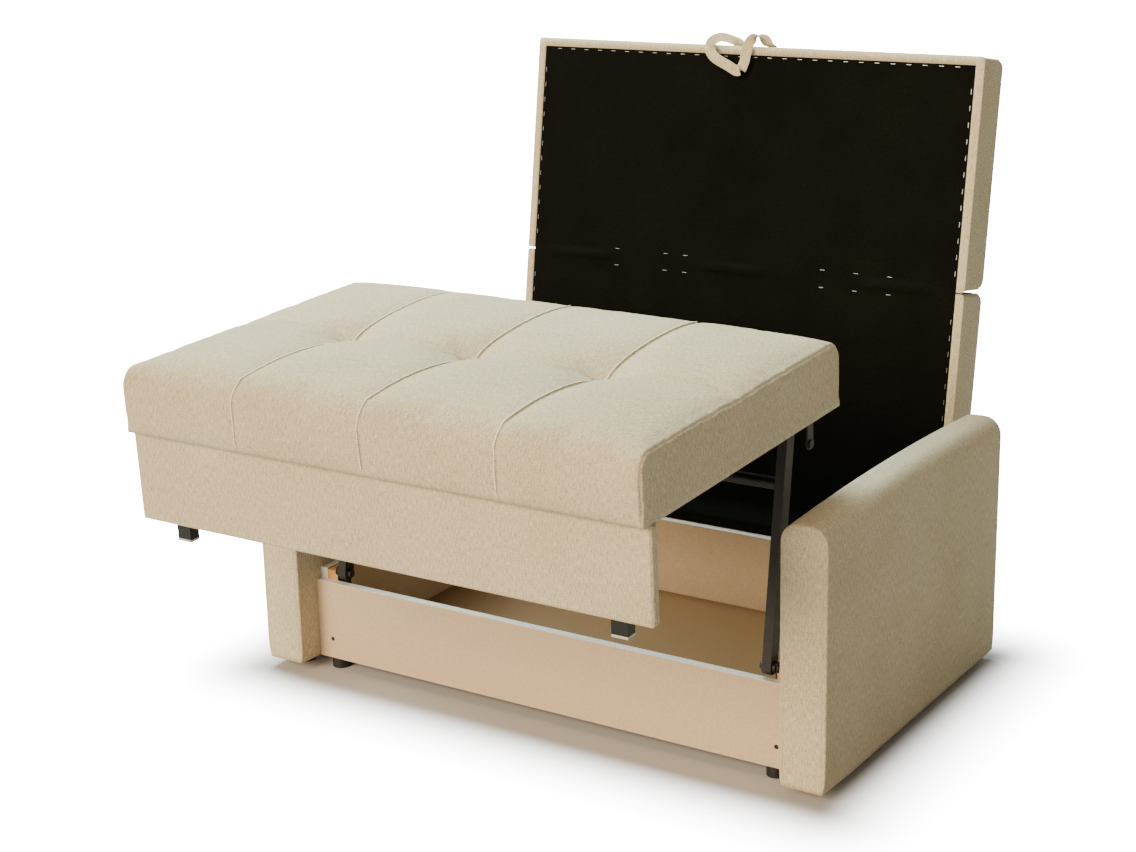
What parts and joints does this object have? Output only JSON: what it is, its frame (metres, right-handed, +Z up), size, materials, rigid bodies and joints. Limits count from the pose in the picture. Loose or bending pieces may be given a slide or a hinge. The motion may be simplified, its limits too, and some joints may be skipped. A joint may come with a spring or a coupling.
{
  "type": "sofa bed",
  "caption": "Beige sofa bed, half open: tufted seat raised on swing levers over a bedding box, black-lined back slabs unfolded upright between padded arms.",
  "frame": {"origin": "on the floor, under the middle of the overall bounding box at rest", "axes": "+X across the sofa to the sitter's left, +Y from front to rear, +Z up"},
  "size_m": [1.4, 1.6, 1.3395],
  "materials": {
    "upholstery": "matt beige melange woven polyester",
    "black_lining": "matt black nonwoven",
    "chipboard": "pale beige melamine-faced chipboard, satin",
    "white_edging": "satin white edge band",
    "hardboard": "smooth brown hardboard, semi-matt",
    "solid_wood": "sawn and planed beech, unfinished",
    "black_steel": "satin black powder coat",
    "zinc_steel": "bright zinc plate",
    "black_plastic": "matt black moulded plastic",
    "grey_plastic": "pale grey moulded plastic"
  },
  "bodies": {
    "base": {"left_arm_frame": "solid_wood", "right_arm_frame": "solid_wood", "left_arm_skins": "hardboard", "right_arm_skins": "hardboard", "left_arm_cover": "upholstery", "right_arm_cover": "upholstery", "arm_glides": "black_plastic", "box_front_board": "chipboard", "box_back_board": "chipboard", "box_left_side": "chipboard", "box_right_side": "chipboard", "box_floor_panel": "hardboard", "box_edge_bands": "white_edging", "corner_blocks": "solid_wood", "box_screws": "black_steel", "box_glides": "black_plastic", "arm_tie_bolts": "zinc_steel", "left_base_bracket": "black_steel", "right_base_bracket": "black_steel", "base_bracket_screws": "zinc_steel", "rear_rail": "solid_wood", "base_hinge_leaves": "zinc_steel", "base_hinge_pins": "zinc_steel", "lower_slab_cushion": "upholstery", "lower_slab_frame": "solid_wood", "lower_slab_deck": "hardboard", "lower_slab_lining": "black_lining", "lower_slab_staples": "zinc_steel", "slab_base_hinge_leaves": "zinc_steel", "fold_hinge_lower_leaves": "zinc_steel", "fold_hinge_pins": "zinc_steel"},
    "lower_pivot": {"lower_pivot_bolts": "black_steel"},
    "levers": {"left_lever": "black_steel", "right_lever": "black_steel", "lever_cross_tube": "black_steel", "lever_washers": "black_plastic"},
    "upper_pivot": {"upper_pivot_bolts": "black_steel"},
    "seat": {"seat_cushion": "upholstery", "seat_frame": "solid_wood", "seat_deck": "hardboard", "seat_lining": "black_lining", "left_seat_bracket": "black_steel", "right_seat_bracket": "black_steel", "seat_bracket_bolts": "black_steel", "apron_board": "chipboard", "apron_cover": "upholstery", "seat_legs": "black_steel", "seat_leg_glides": "grey_plastic"},
    "upper_slab": {"upper_slab_cushion": "upholstery", "upper_slab_frame": "solid_wood", "upper_slab_deck": "hardboard", "upper_slab_lining": "black_lining", "upper_slab_staples": "zinc_steel", "fold_hinge_upper_leaves": "zinc_steel", "pull_strap": "upholstery"}
  },
  "joints": [
    {"name": "seat_forward", "type": "hinge", "parent": "base", "child": "lower_pivot", "pos_m": [0, -0.2231, 0.225], "axis": [1, 0, 0], "range_deg": [0, 98]},
    {"name": "seat_back", "type": "hinge", "parent": "lower_pivot", "child": "levers", "pos_m": [0, -0.2231, 0.225], "axis": [1, 0, 0], "range_deg": [-82, 0]},
    {"name": "seat_level_forward", "type": "hinge", "parent": "levers", "child": "upper_pivot", "pos_m": [0, -0.15449, 0.7132], "axis": [1, 0, 0], "range_deg": [-100.46, 0]},
    {"name": "seat_level_back", "type": "hinge", "parent": "upper_pivot", "child": "seat", "pos_m": [0, -0.15449, 0.7132], "axis": [1, 0, 0], "range_deg": [0, 79.56]},
    {"name": "back_fold", "type": "hinge", "parent": "base", "child": "upper_slab", "pos_m": [0, 0.59889, 0.81368], "axis": [-1, 0, 0], "range_deg": [-179.5, 0]}
  ],
  "couplings": [
    {"joint": "seat_level_forward", "follows": "seat_forward", "ratio": -1.025},
    {"joint": "seat_level_back", "follows": "seat_back", "ratio": -0.97012}
  ]
}
